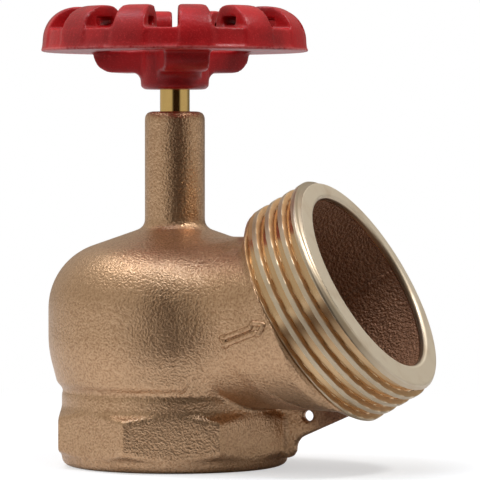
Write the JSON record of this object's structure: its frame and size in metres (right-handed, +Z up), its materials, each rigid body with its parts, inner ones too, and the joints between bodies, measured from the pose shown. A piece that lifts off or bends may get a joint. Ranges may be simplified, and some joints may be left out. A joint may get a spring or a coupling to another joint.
{
  "type": "hydrant valve",
  "caption": "Cast bronze hydrant valve: globe body on an octagon inlet boss, slanted threaded hose outlet, and a red lobed handwheel that screws the stem up to lift the sealing disc.",
  "frame": {"origin": "on the stem's axis at the inlet's bottom face", "axes": "+Z up along the stem, +X towards the outlet, which rises from +X; +Y completes the right-handed frame"},
  "size_m": [0.1474, 0.0988, 0.1692],
  "materials": {
    "cast_bronze": "shot-blasted casting with machined thread and face",
    "polished_brass": "polished",
    "turned_brass": "turned",
    "seal_rubber": "matte",
    "red_paint": "satin paint on cast aluminium",
    "plated_steel": "zinc plated"
  },
  "bodies": {
    "casing": {"valve_body": "cast_bronze", "stem_o_ring_lower": "seal_rubber", "stem_o_ring_upper": "seal_rubber"},
    "lift": {"disc_holder": "turned_brass", "seal_disc": "seal_rubber", "seal_washer": "turned_brass", "seal_screw": "turned_brass", "disc_nut": "turned_brass"},
    "spindle": {"stem": "polished_brass", "handwheel": "red_paint", "wheel_washer": "plated_steel", "wheel_nut": "plated_steel"}
  },
  "joints": [
    {"name": "stem_rise", "type": "slide", "parent": "casing", "child": "lift", "axis": [0, 0, 1], "range_m": [0, 0.018]},
    {"name": "wheel_turn", "type": "hinge", "parent": "lift", "child": "spindle", "pos_m": [0, 0, 0.05], "axis": [0, 0, 1], "range_deg": [0, 1620]}
  ],
  "couplings": [
    {"joint": "stem_rise", "follows": "wheel_turn", "m_per_rad": 0.0006366}
  ]
}
